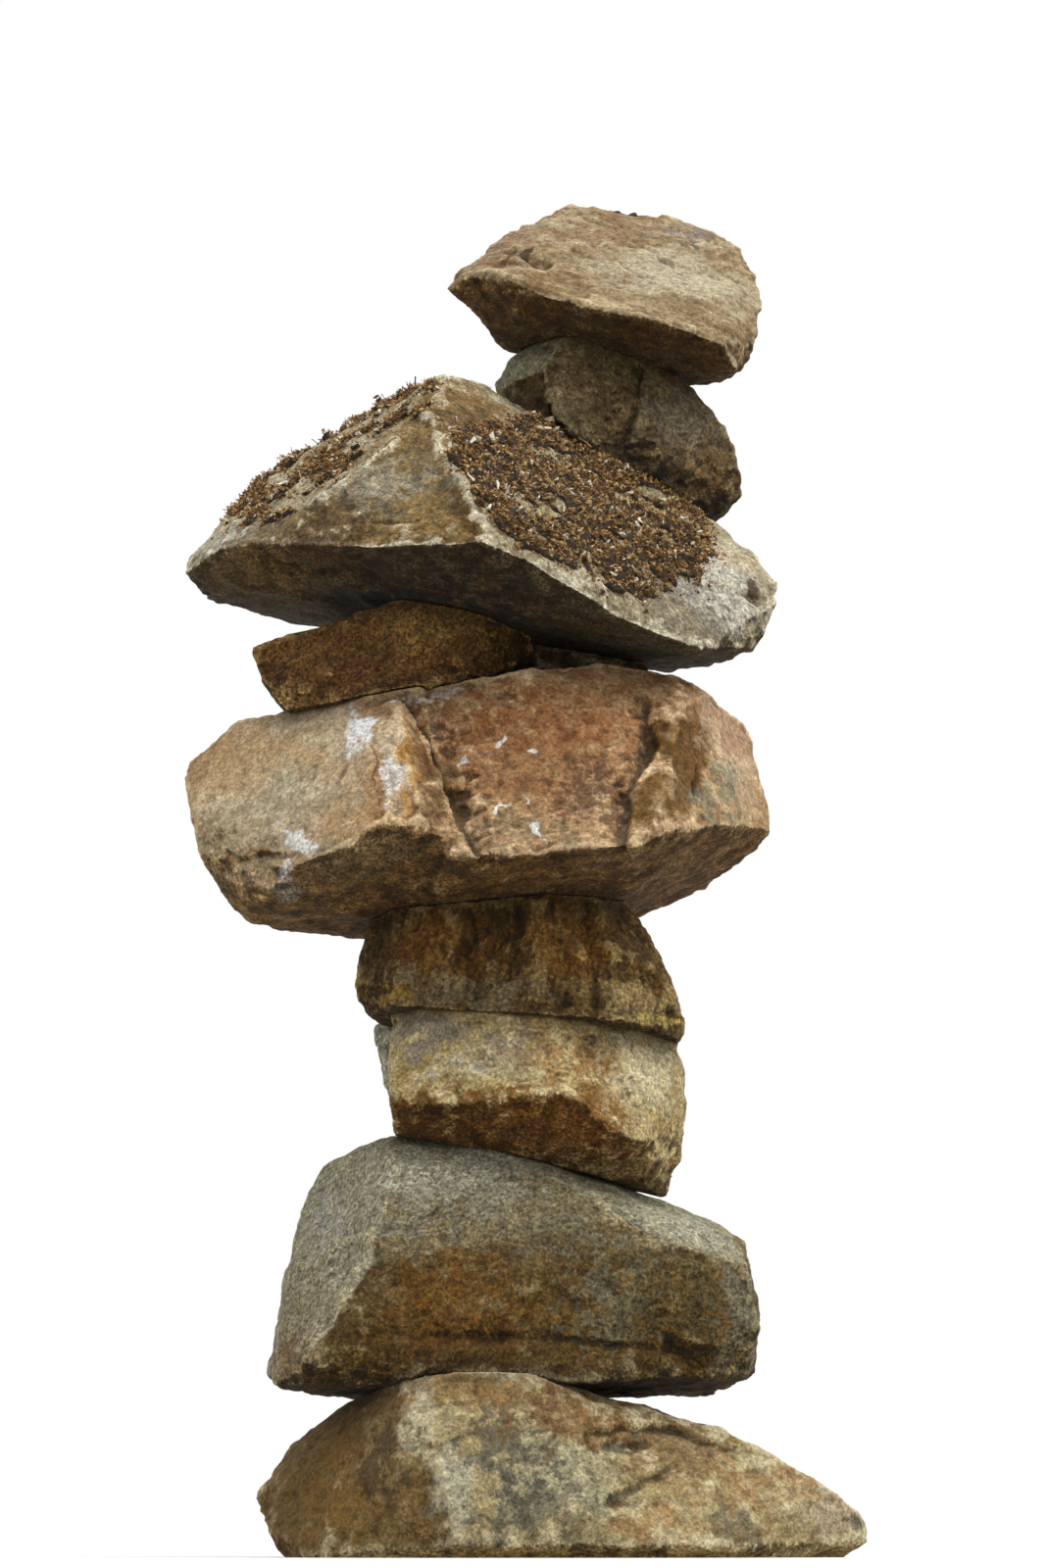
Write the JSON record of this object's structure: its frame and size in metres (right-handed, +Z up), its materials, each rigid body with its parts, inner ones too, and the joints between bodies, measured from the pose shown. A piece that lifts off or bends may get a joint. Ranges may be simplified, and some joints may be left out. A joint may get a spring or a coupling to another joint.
{
  "type": "stone cairn",
  "caption": "Cairn of rough sandstone pieces balanced one on another in rust, gold and grey-brown, with leaf mould on the roof-shaped stone; stands free on its footing stone.",
  "frame": {"origin": "on the ground, under the middle of the outline of the whole stack", "axes": "+Z up the stack; -Y out of the face with the roof stone's three-cornered facet; +X to the right of that face"},
  "size_m": [0.337, 0.216, 0.727],
  "materials": {
    "sandstone_buff": "rough broken sandstone, buff with cream, rust and grey-black stains",
    "sandstone_olive": "rough fine-grained sandstone, olive grey-brown",
    "sandstone_gold": "rough sandstone, cream and gold, darker underneath",
    "sandstone_pale": "rough pale grey sandstone",
    "sandstone_dark": "rough dark brown sandstone with upright ribs",
    "sandstone_rust": "rough sandstone, rust red and ochre, with lime patches",
    "sandstone_honey": "smooth-faced golden brown sandstone",
    "sandstone_brown": "rough brown sandstone chip",
    "sandstone_grey": "rough sandstone, olive brown faces with pale grey worn edges",
    "leaf_mould": "dry crumbs of leaf mould, fibres and pale chips",
    "sandstone_umber": "rough dark brown sandstone, mottled",
    "sandstone_tan": "rough tan sandstone with faint slanting streaks"
  },
  "bodies": {
    "root": {"footing_stone": "sandstone_buff", "block_stone": "sandstone_olive", "blond_stone": "sandstone_gold", "prop_stone": "sandstone_pale", "ribbed_stone": "sandstone_dark", "rust_slab": "sandstone_rust", "wedge_stone": "sandstone_honey", "shim_stone": "sandstone_brown", "roof_stone": "sandstone_grey", "leaf_mould_right": "leaf_mould", "leaf_mould_left": "leaf_mould", "saddle_stone": "sandstone_umber", "cap_stone": "sandstone_tan"}
  },
  "joints": []
}
